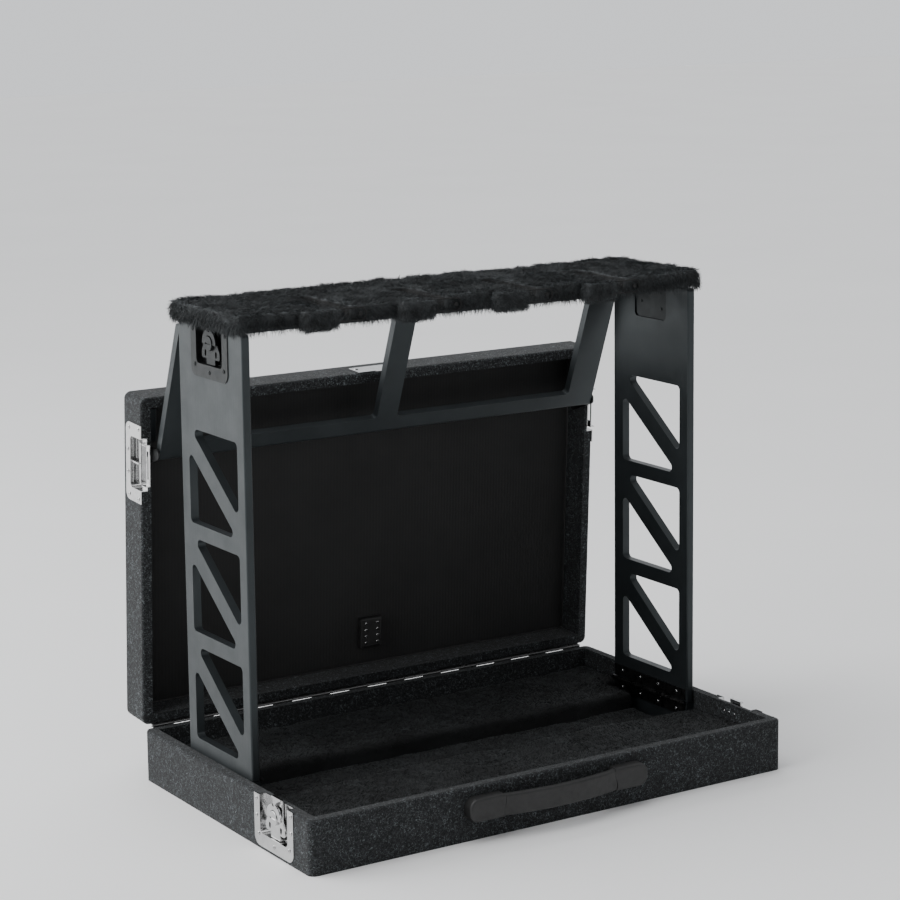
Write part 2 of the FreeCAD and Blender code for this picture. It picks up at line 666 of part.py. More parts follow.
def retaining_loops():
    """A closed elastic loop across each slot's mouth."""
    front = BOARD_Y[0] - FUR_SIDE - 1.9
    low, high = LOOP_Z
    r = (high - low) / 2
    loops = []
    for x in SLOT_X:
        a, b = x + LOOP_ENDS[0], x + LOOP_ENDS[1]
        bottom = Part.LineSegment(V(a, front, low), V(b, front, low)).toShape()
        right = Part.Arc(V(b, front, low), V(b + r, front, low + r), V(b, front, high)).toShape()
        top = Part.LineSegment(V(b, front, high), V(a, front, high)).toShape()
        left = Part.Arc(V(a, front, high), V(a - r, front, low + r), V(a, front, low)).toShape()
        path = Part.Wire([bottom, right, top, left])
        ring = Part.Wire([Part.Circle(V(a, front, low), V(1, 0, 0), LOOP_R).toShape()])
        loops.append(path.makePipeShell([ring], True, False))
    return loops


def loop_studs():
    """The stud that holds each end of a loop against the rail's front edge."""
    front = BOARD_Y[0] - FUR_SIDE
    studs = []
    for x in SLOT_X:
        for stud_x in (x + LOOP_ENDS[0], x + LOOP_ENDS[1]):
            z = (LOOP_Z[0] + LOOP_Z[1]) / 2
            studs.append(rod((stud_x, front, z), (stud_x, front - 3.2, z), STUD_R))
    return studs


# ---------------------------------------------------------------- carrying handle
def seam(x, z0, z1, waves=1.0):
    """A gently wavy upright curve where a cap meets the grip."""
    points = []
    for i in range(9):
        sway = SEAM_WAVE * math.sin(2 * math.pi * waves * i / 8)
        points.append(V(x + sway, 0, z0 + (z1 - z0) * i / 8))
    curve = Part.BSplineCurve()
    curve.interpolate(points)
    return curve.toShape()


def side_profile(start, end, z, y):
    """A plate in XZ between two X positions, each a seam curve or a straight line."""
    a0, a1 = start.Vertexes[0].Point, start.Vertexes[-1].Point
    b0, b1 = end.Vertexes[0].Point, end.Vertexes[-1].Point
    edges = [start, end, Part.LineSegment(a0, b0).toShape(), Part.LineSegment(a1, b1).toShape()]
    face = Part.Face(Part.Wire(Part.__sortEdges__(edges)))
    face.translate(V(0, y[0], 0))
    return face.extrude(V(0, y[1] - y[0], 0))


def handle_cap(side):
    """An end cap with a pocket that lets the strap's tongue move outward."""
    x0, x1 = HANDLE_HALF - CAP_L, HANDLE_HALF
    y = (-HALF_D - 17, -HALF_D)
    z = (HANDLE_Z - 16, HANDLE_Z + 16)
    straight = Part.LineSegment(V(x1, 0, z[0]), V(x1, 0, z[1])).toShape()
    cap = side_profile(seam(x0, *z), straight, z, y)
    cap = fillet(cap, 14.0, lambda a, b: abs(a.y - b.y) > 1 and min(a.x, b.x) > x1 - 1)
    front = lambda a, b: max(a.y, b.y) < y[0] + 0.1 and max(a.x, b.x) > x0 + SEAM_WAVE + 1
    cap = fillet(cap, 4.0, front)
    pocket = box((x0 - 4, x1 - 14), (-HALF_D - 6 - GRIP_TRAVEL - 0.6, -HALF_D - 1),
                 (HANDLE_Z - 12, HANDLE_Z + 12))
    cap = on_side(cap.cut(pocket), side)
    cap.translate(V(HANDLE_X, 0, 0))
    return cap


def handle_grip():
    """The bowed grip and its two thin tongues."""
    x = HANDLE_HALF - CAP_L + 3
    front, back = -HALF_D - 16, -HALF_D - 5
    edges = []
    for y in (front, back):
        edges.append(Part.Arc(V(-x, y, 0), V(0, y - GRIP_BOW, 0), V(x, y, 0)).toShape())
    edges.append(Part.LineSegment(V(-x, front, 0), V(-x, back, 0)).toShape())
    edges.append(Part.LineSegment(V(x, front, 0), V(x, back, 0)).toShape())
    face = Part.Face(Part.Wire(Part.__sortEdges__(edges)))
    body = face.extrude(V(0, 0, 30))
    body.translate(V(0, 0, HANDLE_Z - 15))
    body = fillet(body, 4.0, lambda a, b: abs(a.z - b.z) < 1e-6 and abs(a.x - b.x) > 100)
    z = (HANDLE_Z - 16, HANDLE_Z + 16)
    right = seam(HANDLE_HALF - CAP_L - 0.4, *z)
    left = right.mirror(V(0, 0, 0), V(1, 0, 0))
    trim = side_profile(left, right, z, (-HALF_D - 40, -HALF_D))
    body = body.common(trim)
    tongue = box((-HANDLE_HALF + 20, HANDLE_HALF - 20), (-HALF_D - 6, -HALF_D - 2),
                 (HANDLE_Z - 10, HANDLE_Z + 10))
    keep = box((-x + 14, x - 14), (-HALF_D - 6, -HALF_D), (0, 80))
    whole = fuse([body, tongue.cut(keep)])
    whole.translate(V(HANDLE_X, 0, 0))
    return whole


def wall_nuts(side):
    """The latch's fastenings that show on the tray's inner wall."""
    nuts = []
    for y in (-8, 5, 16):
        point = (HALF_L - WALL, LATCH_Y + y, TRAY_H - 13)
        nuts.append(on_side(dome(point, (-1, 0, 0), 2.0, 1.1), side))
    return nuts


def pan_nuts(side):
    """Fastenings on the back of a panel latch's pan, seen in the panel's window."""
    spots = ((24, -30), (-23, -13), (-24, -37))
    return [at_panel(dome((-PAN_DEPTH, u, w), (-1, 0, 0), 2.2, 1.1), side) for u, w in spots]


# ---------------------------------------------------------------- assembly
def build():
    parts = {}
    parts["tray_box"], parts["tray_carpet"] = make_tray()
    parts["lid_box"], parts["lid_carpet"], parts["lid_lining"] = make_lid()
    tray_leaf, lid_leaf, pin = make_case_hinge()
    parts["case_hinge_tray_leaf"] = tray_leaf
    parts["case_hinge_lid_leaf"] = lid_leaf
    parts["case_hinge_pin"] = pin
    parts["front_pad"] = pad(*FRONT_PAD)
    parts["trough_pad"] = pad(*TROUGH_PAD, crown=1.0)
    parts["rear_pad"] = pad(*REAR_PAD)
    parts["hinge_cleats"] = [cleat("left"), cleat("right")]
    parts["panel_hinge_tray_leaves"] = [panel_leaf(s, False) for s in ("left", "right")]
    parts["panel_hinge_pins"] = [panel_pin(s) for s in ("left", "right")]

    tray_fixings = []
    for side in ("left", "right"):
        parts[side + "_panel"] = make_panel(side)
        parts[side + "_panel_hinge_leaf"] = panel_leaf(side, True)
        fixings = hinge_rivets(side, True)
        fixings += [at_panel(s, side) for s in latch_screws(False)] + pan_nuts(side)
        parts[side + "_panel_fixings"] = fixings
        tray_fixings += hinge_rivets(side, False) + wall_nuts(side)
        tray_fixings += [at_tray(s, side) for s in latch_screws(True)]
        for where, put, reach in (("panel", at_panel, -1.0), ("tray", at_tray, 5.0)):
            name = side + "_" + where + "_latch_"
            parts[name + "dish"] = put(latch_dish(), side)
            parts[name + "hook"] = put(latch_hook(reach), side)
            parts[name + "knob"] = put(latch_knob(), side)
            parts[name + "wings"] = put(latch_wings(), side)
        parts[side + "_panel_latch_housing"] = at_panel(latch_housing(), side)
    parts["tray_latch_housings"] = [at_tray(latch_housing(), s) for s in ("left", "right")]
    parts["tray_fixings"] = tray_fixings

    guide, guide_screws = guide_plate()
    block, dots = strap_block()
    parts["lid_guide_plate"] = guide
    parts["lid_strap_block"] = block
    lid_fixings = guide_screws + dots
    for side in ("left", "right"):
        lid_fixings += [at_lid(s, side) for s in keeper_screws()]
    parts["lid_keepers"] = [at_lid(lid_keeper(), s) for s in ("left", "right")]
    parts["lid_fixings"] = lid_fixings
    parts["lid_end_blocks"] = [end_block(s) for s in ("left", "right")]
    parts["brace_pivots"] = [brace_pivot(s) for s in ("left", "right")]

    parts["brace_frame"] = make_brace()
    parts["rail_hinge_brace_leaf"] = rail_hinge(False)
    parts["rail_board"] = make_rail_board()
    parts["rail_fur"] = make_fur()
    parts["rail_hinge_rail_leaf"] = rail_hinge(True)
    y, z = RAIL_AXIS
    parts["rail_hinge_pin"] = rod((-RAIL_HINGE_X - 1, y, z), (RAIL_HINGE_X + 1, y, z), 1.5)
    parts["rail_keepers"] = [rail_keeper(s) for s in ("left", "right")]
    parts["finger_pads"] = finger_pads()
    parts["retaining_loops"] = retaining_loops()
    parts["loop_studs"] = loop_studs()

    parts["handle_caps"] = [handle_cap(s) for s in ("left", "right")]
    parts["handle_grip"] = handle_grip()
    return parts


def main():
    os.makedirs("parts", exist_ok=True)
    for name, shape in build().items():
        solids = []
        for piece in shape if isinstance(shape, list) else [shape]:
            solids += piece.Solids
        whole = solids[0] if len(solids) == 1 else Part.makeCompound(solids)
        if not whole.isValid():
            print("not valid:", name)
        whole.exportStep("parts/" + name + ".step")
        print(name, len(solids), round(sum(s.Volume for s in solids)))


main()
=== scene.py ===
import json
import math

import bmesh
import bpy
import numpy as np
from mathutils import Matrix, Vector, noise


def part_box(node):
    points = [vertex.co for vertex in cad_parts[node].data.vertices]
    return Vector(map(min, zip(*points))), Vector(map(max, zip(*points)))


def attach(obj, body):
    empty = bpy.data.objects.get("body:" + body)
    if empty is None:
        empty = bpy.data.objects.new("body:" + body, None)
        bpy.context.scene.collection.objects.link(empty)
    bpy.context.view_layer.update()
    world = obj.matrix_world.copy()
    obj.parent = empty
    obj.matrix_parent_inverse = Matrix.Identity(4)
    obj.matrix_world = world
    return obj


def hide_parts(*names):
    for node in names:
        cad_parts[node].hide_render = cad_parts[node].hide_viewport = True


# Folding guitar rack in its carpeted case. Metres, in the CAD frame:
# +X along the case, +Y from the handle side to the lid, +Z up.
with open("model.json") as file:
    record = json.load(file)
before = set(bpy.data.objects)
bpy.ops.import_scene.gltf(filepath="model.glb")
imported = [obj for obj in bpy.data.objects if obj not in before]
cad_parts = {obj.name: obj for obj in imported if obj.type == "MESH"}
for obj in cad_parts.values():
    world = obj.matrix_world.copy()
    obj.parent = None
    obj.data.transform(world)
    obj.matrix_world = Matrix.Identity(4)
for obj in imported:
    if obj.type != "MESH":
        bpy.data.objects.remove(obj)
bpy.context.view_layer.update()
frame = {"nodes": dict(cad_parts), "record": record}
NODES = frame["nodes"]
OPENINGS = {o["name"]: o["box_m"] for o in frame["record"]["physics"]["openings"]}
MM = 0.001
SIDES = ("left", "right")
LATCH_ABOVE = 0.4          # Z between a panel's hinge fixings and its latch fixings


# ------------------------------------------------------------------ materials
class Shader:
    """One Principled material and short calls for the nodes that feed it."""

    def __init__(self, name, **sockets):
        self.mat = bpy.data.materials.new(name)
        self.mat.use_nodes = True
        self.tree = self.mat.node_tree
        self.bsdf = self.tree.nodes["Principled BSDF"]
        for key, value in sockets.items():
            self.bsdf.inputs[key.replace("_", " ")].default_value = value
        self.space = self.tree.nodes.new("ShaderNodeTexCoord").outputs["Object"]

    def node(self, kind, **links):
        made = self.tree.nodes.new("ShaderNode" + kind)
        for key, value in links.items():
            socket = made.inputs[key.replace("_", " ")]
            if isinstance(value, bpy.types.NodeSocket):
                self.tree.links.new(value, socket)
            else:
                socket.default_value = value
        return made

    def stretch(self, x, y, z):
        return self.node("Mapping", Vector=self.space, Scale=(x, y, z)).outputs["Vector"]

    def noise(self, scale, detail=3.0, roughness=0.6, space=None, distortion=0.0):
        made = self.node("TexNoise", Vector=space or self.space, Scale=scale, Detail=detail,
                         Roughness=roughness, Distortion=distortion)
        return made.outputs["Fac"]

    def cells(self, scale, space=None):
        made = self.node("TexVoronoi", Vector=space or self.space, Scale=scale)
        return made.outputs["Distance"]

    def waves(self, scale, direction, distortion=0.0):
        made = self.node("TexWave", Vector=self.space, Scale=scale, Distortion=distortion)
        made.bands_direction = direction
        return made.outputs["Fac"]

    def ramp(self, factor, *stops):
        """Grey levels or colours at positions along a 0-1 factor."""
        made = self.node("ValToRGB", Fac=factor)
        bar = made.color_ramp.elements
        while len(bar) < len(stops):
            bar.new(0.5)
        for element, (place, colour) in zip(bar, stops):
            grey = isinstance(colour, (int, float))
            element.position = place
            element.color = (colour, colour, colour, 1) if grey else (*colour, 1)
        return made.outputs["Color"]

    def mix(self, factor, a, b, blend="MIX"):
        made = self.tree.nodes.new("ShaderNodeMix")
        made.data_type = "RGBA"
        made.blend_type = blend
        for index, value in ((0, factor), (6, a), (7, b)):
            if isinstance(value, bpy.types.NodeSocket):
                self.tree.links.new(value, made.inputs[index])
            elif index == 0:
                made.inputs[0].default_value = value
            else:
                made.inputs[index].default_value = (value, value, value, 1)
        return made.outputs[2]

    def feed(self, socket, value):
        self.tree.links.new(value, self.bsdf.inputs[socket])
        return self

    def bump(self, *layers):
        """Stack height textures, each given as (height, strength, distance in metres)."""
        normal = None
        for height, strength, distance in layers:
            links = dict(Height=height, Strength=strength, Distance=distance)
            if normal:
                links["Normal"] = normal
            normal = self.node("Bump", **links).outputs["Normal"]
        return self.feed("Normal", normal)


def felt_material():
    """Needle-punched carpet: charcoal fibres with paler, cool grey flecks."""
    s = Shader("carpet_felt", Roughness=0.96, Sheen_Weight=0.06, Sheen_Roughness=0.5)
    fibres = s.noise(300, 3, 0.7, distortion=1.0)
    flecks = s.noise(250, 2, 0.7, distortion=1.6)
    blotch = s.noise(26, 3, 0.6)
    base = s.ramp(fibres, (0.40, (0.003, 0.0035, 0.004)), (0.52, (0.011, 0.0125, 0.0135)),
                  (0.62, (0.034, 0.038, 0.042)))
    fleck = s.ramp(flecks, (0.56, 0.0), (0.66, (0.100, 0.113, 0.119)))
    colour = s.mix(1.0, base, fleck, "ADD")
    s.feed("Base Color", s.mix(1.0, colour, s.ramp(blotch, (0.3, 0.62), (0.7, 1.05)), "MULTIPLY"))
    s.bump((s.noise(90, 2), 0.35, 0.0012), (fibres, 0.9, 0.0011))
    return s.mat


def fibre_material():
    """Loose fibres that stand off the carpet, some dark and some pale."""
    s = Shader("carpet_loose_fibres", Roughness=0.9)
    pick = s.noise(240, 1, 0.5)
    s.feed("Base Color", s.ramp(pick, (0.42, (0.008, 0.009, 0.010)), (0.62, (0.10, 0.11, 0.12))))
    return s.mat


def paint_material():
    """Black satin paint over plywood: faint grain, orange peel and paler patches."""
    s = Shader("black_satin_paint", Coat_Weight=0.04, Coat_Roughness=0.35,
               Specular_IOR_Level=0.42, Specular_Tint=(0.86, 0.97, 1.0, 1.0))
    grain = s.noise(60, 4, 0.65, s.stretch(1, 6, 0.35), 0.6)
    wear = s.noise(9, 4, 0.6)
    s.feed("Base Color", s.ramp(wear, (0.3, (0.010, 0.012, 0.013)), (0.7, (0.020, 0.023, 0.025))))
    s.feed("Roughness", s.ramp(s.noise(22, 3), (0.3, 0.36), (0.75, 0.52)))
    s.bump((grain, 0.25, 0.0004), (s.noise(420, 2), 0.20, 0.0003))
    return s.mat


def steel_material(name, bright, rough):
    """Plated steel with faint brushing, smudges and tiny scratches."""
    s = Shader(name, Metallic=1.0)
    smudge = s.noise(60, 4, 0.65)
    s.feed("Base Color", s.ramp(smudge, (0.25, bright * 0.8), (0.7, bright)))
    s.feed("Roughness", s.ramp(s.noise(170, 3), (0.3, rough * 0.6), (0.7, rough * 1.5)))
    brushed = s.noise(120, 3, 0.6, s.stretch(2, 1, 14))
    s.bump((brushed, 0.1, 0.0002), (s.noise(30, 2), 0.1, 0.0004))
    return s.mat


def enamel_material():
    """Satin black enamel on the inner latches and brace pivots, with paler patches."""
    s = Shader("black_latch_enamel", Specular_IOR_Level=0.26,
               Specular_Tint=(0.86, 0.97, 1.0, 1.0))
    s.feed("Base Color", s.ramp(s.noise(180, 4, 0.7), (0.35, 0.004), (0.8, 0.016)))
    s.feed("Roughness", s.ramp(s.noise(90, 3), (0.3, 0.30), (0.7, 0.48)))
    s.bump((s.noise(260, 2), 0.3, 0.0003))
    return s.mat


def plush_material(name, low, high, sheen, patch):
    """Pile that reads darker or paler where it has been brushed another way."""
    s = Shader(name, Roughness=0.85, Sheen_Weight=sheen, Sheen_Roughness=0.4)
    s.bsdf.inputs["Sheen Tint"].default_value = (0.80, 0.90, 0.95, 1)
    nap = s.noise(patch, 4, 0.65, distortion=0.8)
    fine = s.noise(700, 3, 0.7)
    tone = s.mix(0.3, nap, fine)
    cool = (low * 0.92, low, low * 1.05), (high * 0.9, high, high * 1.05)
    s.feed("Base Color", s.ramp(tone, (0.38, cool[0]), (0.66, cool[1])))
    s.bump((nap, 0.4, 0.003), (fine, 0.6, 0.0008))
    return s.mat


def lining_material():
    """Dark knitted lining with fine upright ribs."""
    s = Shader("lid_lining_cloth", Roughness=0.88, Sheen_Weight=0.2, Sheen_Roughness=0.5)
    ribs = s.waves(60, "X", 0.6)
    thread = s.noise(900, 2, 0.6)
    haze = s.noise(6, 4, 0.6)
    s.feed("Base Color", s.mix(1.0, s.ramp(haze, (0.3, 0.004), (0.7, 0.011)),
                               s.ramp(ribs, (0.0, 0.86), (1.0, 1.06)), "MULTIPLY"))
    s.bump((ribs, 0.15, 0.0004), (thread, 0.5, 0.0003))
    return s.mat


def plastic_material():
    """Moulded black vinyl with a fine leather-like grain."""
    s = Shader("moulded_black_vinyl", Coat_Weight=0.05, Coat_Roughness=0.5)
    grain = s.cells(650)
    s.feed("Base Color", s.ramp(s.noise(40, 3), (0.3, 0.009), (0.7, 0.015)))
    s.feed("Roughness", s.ramp(s.noise(120, 2), (0.3, 0.46), (0.7, 0.62)))
    s.bump((grain, 0.35, 0.0004))
    return s.mat


def elastic_material():
    """Woven sheath on the elastic strands."""
    s = Shader("woven_elastic", Roughness=0.85)
    braid = s.cells(1300, s.stretch(0.5, 1, 1))
    s.feed("Base Color", s.ramp(braid, (0.1, 0.014), (0.7, 0.003)))
    s.bump((braid, 0.8, 0.0004))
    return s.mat


FELT = felt_material()
PAINT = paint_material()
CHROME = steel_material("bright_plated_steel", 0.62, 0.14)
ZINC = steel_material("zinc_hinge_steel", 0.20, 0.34)
DARK_STEEL = steel_material("blackened_hinge_steel", 0.09, 0.32)
ENAMEL = enamel_material()
FIBRES = fibre_material()
LINER = plush_material("liner_plush", 0.0012, 0.015, 0.08, 13)
FUR = plush_material("long_pile_fur", 0.006, 0.046, 0.25, 45)
# Near-black copy of the fur: painted shade for the walls deep inside the rail's slots
FUR_PAINTED_SHADE = plush_material("fur_painted_shade_in_slots", 0.0008, 0.003, 0.0, 45)
LINING = lining_material()
VINYL = plastic_material()
ELASTIC = elastic_material()


def paint_nodes(material, *names):
    for name in names:
        slots = NODES[name].data.materials
        slots.clear()
        slots.append(material)


def two_finish(name, low, high, height):
    """Faces of one node below a height take one finish and those above take another."""
    mesh = NODES[name].data
    mesh.materials.clear()
    mesh.materials.append(low)
    mesh.materials.append(high)
    for face in mesh.polygons:
        face.material_index = int(face.center.z > height)


def finish_cad_nodes():
    paint_nodes(FELT, "tray_carpet", "lid_carpet")
    paint_nodes(PAINT, "tray_box", "lid_box", "left_panel", "right_panel", "brace_frame",
                "rail_board", "hinge_cleats", "lid_end_blocks")
    paint_nodes(ZINC, "case_hinge_tray_leaf", "case_hinge_lid_leaf", "case_hinge_pin")
    paint_nodes(DARK_STEEL, "panel_hinge_tray_leaves", "panel_hinge_pins",
                "left_panel_hinge_leaf", "right_panel_hinge_leaf", "rail_hinge_brace_leaf",
                "rail_hinge_rail_leaf", "rail_hinge_pin", "rail_keepers")
    paint_nodes(CHROME, "tray_latch_housings", "tray_fixings", "lid_guide_plate", "lid_keepers",
                "lid_fixings")
    paint_nodes(VINYL, "lid_strap_block", "handle_caps", "handle_grip")
    paint_nodes(ELASTIC, "retaining_loops", "loop_studs")
    paint_nodes(ENAMEL, "brace_pivots")
    for side in SIDES:
        for piece in ("dish", "hook", "knob", "wings"):
            paint_nodes(CHROME, side + "_tray_latch_" + piece)
            paint_nodes(ENAMEL, side + "_panel_latch_" + piece)
        paint_nodes(ENAMEL, side + "_panel_latch_housing")
        two_finish(side + "_panel_fixings", CHROME, ENAMEL, LATCH_ABOVE)


# ------------------------------------------------------------------ mesh tools
def place_mesh(name, mesh, material):
    obj = bpy.data.objects.new(name, mesh)
    bpy.context.scene.collection.objects.link(obj)
    mesh.materials.append(material)
    return obj


def new_object(name, vertices, faces, material):
    mesh = bpy.data.meshes.new(name)
    mesh.from_pydata([tuple(v) for v in vertices], [], faces)
    mesh.update()
    return place_mesh(name, mesh, material)


def from_bmesh(name, bm, material):
    mesh = bpy.data.meshes.new(name)
    bmesh.ops.recalc_face_normals(bm, faces=bm.faces)
    bm.to_mesh(mesh)
    bm.free()
    return place_mesh(name, mesh, material)


def apply_modifiers(obj):
    bpy.context.view_layer.update()
    done = bpy.data.meshes.new_from_object(
        obj.evaluated_get(bpy.context.evaluated_depsgraph_get()))
    obj.modifiers.clear()
    old = obj.data
    obj.data = done
    bpy.data.meshes.remove(old)
    return obj


def smooth(obj):
    obj.data.polygons.foreach_set("use_smooth", [True] * len(obj.data.polygons))
    return obj


def block(bm, low, high):
    made = bmesh.ops.create_cube(bm, size=1.0)
    middle = (Vector(low) + Vector(high)) / 2
    size = Vector(high) - Vector(low)
    for v in made["verts"]:
        v.co = middle + Vector(a * b for a, b in zip(v.co, size))


def carve(obj, low, high):
    """Cut a box out of a closed mesh."""
    bm = bmesh.new()
    block(bm, low, high)
    tool = from_bmesh("tool", bm, FUR)
    cutter = obj.modifiers.new("carve", "BOOLEAN")
    cutter.operation = "DIFFERENCE"
    cutter.solver = "EXACT"
    cutter.object = tool
    apply_modifiers(obj)
    bpy.data.objects.remove(tool)
    return obj


def soften(obj, voxel, passes):
    """Remesh a closed solid evenly and round its edges."""
    again = obj.modifiers.new("remesh", "REMESH")
    again.mode = "VOXEL"
    again.voxel_size = voxel
    relax = obj.modifiers.new("relax", "SMOOTH")
    relax.factor = 0.5
    relax.iterations = passes
    return smooth(apply_modifiers(obj))


def arrays(obj):
    mesh = obj.data
    count = len(mesh.vertices)
    places = np.empty(count * 3)
    mesh.vertices.foreach_get("co", places)
    normals = np.empty(count * 3)
    mesh.vertices.foreach_get("normal", normals)
    return places.reshape(-1, 3), normals.reshape(-1, 3)


def set_places(obj, places):
    obj.data.vertices.foreach_set("co", np.ascontiguousarray(places).ravel())
    obj.data.update()


def lumps(points, scale, seed=0.0):
    """Smooth noise in -1..1 at each point; scale is in lumps per metre."""
    offset = Vector((seed, seed * 1.7, seed * 0.6))
    return np.array([noise.noise(Vector(p) * scale + offset) for p in points])


def ruffle(obj, layers, keep=None):
    """Push the surface in and out by layers of (scale, amplitude, seed)."""
    places, normals = arrays(obj)
    push = np.zeros(len(places))
    for scale, amplitude, seed in layers:
        push += amplitude * lumps(places, scale, seed)
    if keep is not None:
        push *= keep(places)
    set_places(obj, places + normals * push[:, None])
    return obj


def scatter(obj, count, seed, choose=None):
    """Random points over the faces, with their normals, weighted by area."""
    mesh = obj.data
    mesh.calc_loop_triangles()
    tri = np.empty(len(mesh.loop_triangles) * 3, int)
    mesh.loop_triangles.foreach_get("vertices", tri)
    tri = tri.reshape(-1, 3)
    places, _ = arrays(obj)
    a, b, c = places[tri[:, 0]], places[tri[:, 1]], places[tri[:, 2]]
    cross = np.cross(b - a, c - a)
    area = np.linalg.norm(cross, axis=1)
    if choose is not None:
        area = area * choose((a + b + c) / 3, cross / np.maximum(area, 1e-12)[:, None])
    dice = np.random.default_rng(seed)
    pick = dice.choice(len(tri), count, p=area / area.sum())
    u, v = dice.random((2, count))
    flip = u + v > 1
    u[flip], v[flip] = 1 - u[flip], 1 - v[flip]
    points = a[pick] + (b - a)[pick] * u[:, None] + (c - a)[pick] * v[:, None]
    unit = cross[pick] / np.linalg.norm(cross[pick], axis=1)[:, None]
    return points, unit


def pile(name, obj, count, length, width, lie, seed, material, choose=None, sag=0.0):
    """Tapered blades of pile growing from a surface, lying along a wandering nap."""
    roots, up = scatter(obj, count, seed, choose)
    dice = np.random.default_rng(seed + 1)
    nap = np.stack([lumps(roots, 16, seed + 3.1 * k) for k in range(3)], axis=1)
    nap += np.stack([lumps(roots, 70, seed + 40 + k) for k in range(3)], axis=1) * 0.6
    nap[:, 2] -= sag
    nap += dice.normal(0, 0.22, nap.shape)
    nap -= up * np.sum(nap * up, axis=1)[:, None]
    nap /= np.maximum(np.linalg.norm(nap, axis=1), 1e-6)[:, None]
    clump = lie + 0.30 * lumps(roots, 75, seed + 11)
    tilt = np.clip(dice.normal(clump, 0.14, count), 0.1, 1.45)[:, None]
    way = up * np.cos(tilt) + nap * np.sin(tilt)
    reach = (length * dice.uniform(0.6, 1.15, count))[:, None]
    side = np.cross(way, dice.normal(0, 1, way.shape))
    side /= np.maximum(np.linalg.norm(side, axis=1), 1e-6)[:, None]
    side *= (width * dice.uniform(0.6, 1.2, count) / 2)[:, None]
    bend = nap * reach * 0.18 - np.array([0, 0, 1.0]) * reach * 0.12
    middle = roots + way * reach * 0.55
    tip = roots + way * reach + bend
    start = roots - up * 0.0012
    points = np.stack([start - side, start + side, middle + side * 0.8, middle - side * 0.8, tip],
                      axis=1).reshape(-1, 3)
    faces = []
    for i in range(0, count * 5, 5):
        faces.append((i, i + 1, i + 2, i + 3))
        faces.append((i + 3, i + 2, i + 4))
    return smooth(new_object(name, points, faces, material))


# ------------------------------------------------------------------ soft goods
def hand_over(pieces, body):
    for piece in pieces:
        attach(piece, body)


def slot_centres():
    boxes = [OPENINGS["neck_slot_" + n] for n in ("one", "two", "three", "four")]
    return [(low[0] + high[0]) / 2 for low, high in boxes]


SLOT_HALF = 18.5 * MM      # half the clear width of a slot in the fur
SLOT_BACK = 65.5 * MM      # Y of a slot's closed end
HOOK_ROOM = (358.0 * MM, 369.0 * MM)     # X of the room over each panel's hook
HOOK_ROOM_Y = (16.0 * MM, 56.0 * MM)
HOOK_ROOM_TOP = 0.686
LEAF_HALF = 0.345          # half the room for the rail hinge under the fur
BOARD_UNDER = 0.678        # Z of the rail board's underside
FINGER_PAD_X = (0.034, 0.0265)           # left of its slot's centre, and half width
PAD_NOTCH = (344.0 * MM, 380.0 * MM)     # X of the room for the panel hinges
TRAY_OUTER = (0.3845, 0.2375, 9.0)       # carpet beyond this is on the tray's outside
TRAY_RIM = 0.070


def both_ends(span):
    """A pair of distances from the middle, as (low, high) at the left and right end."""
    return [tuple(sorted((side * span[0], side * span[1]))) for side in (-1, 1)]


def comb_outline(low, high):
    """Rail outline seen from above: a rectangle with four round-ended slots."""
    outline = []
    for x in slot_centres():
        outline.append((x - SLOT_HALF, low[1]))
        for step in range(9):
            turn = math.pi - math.pi * step / 8
            outline.append((x + SLOT_HALF * math.cos(turn),
                            SLOT_BACK - SLOT_HALF + SLOT_HALF * math.sin(turn)))
        outline.append((x + SLOT_HALF, low[1]))
    outline += [(high[0], low[1]), (high[0], high[1]), (low[0], high[1]), (low[0], low[1])]
    return outline


def prism(name, outline, z0, z1, material):
    bm = bmesh.new()
    base = bm.faces.new([bm.verts.new((x, y, z0)) for x, y in outline])
    made = bmesh.ops.extrude_face_region(bm, geom=[base])
    for item in made["geom"]:
        if isinstance(item, bmesh.types.BMVert):
            item.co.z = z1
    return from_bmesh(name, bm, material)


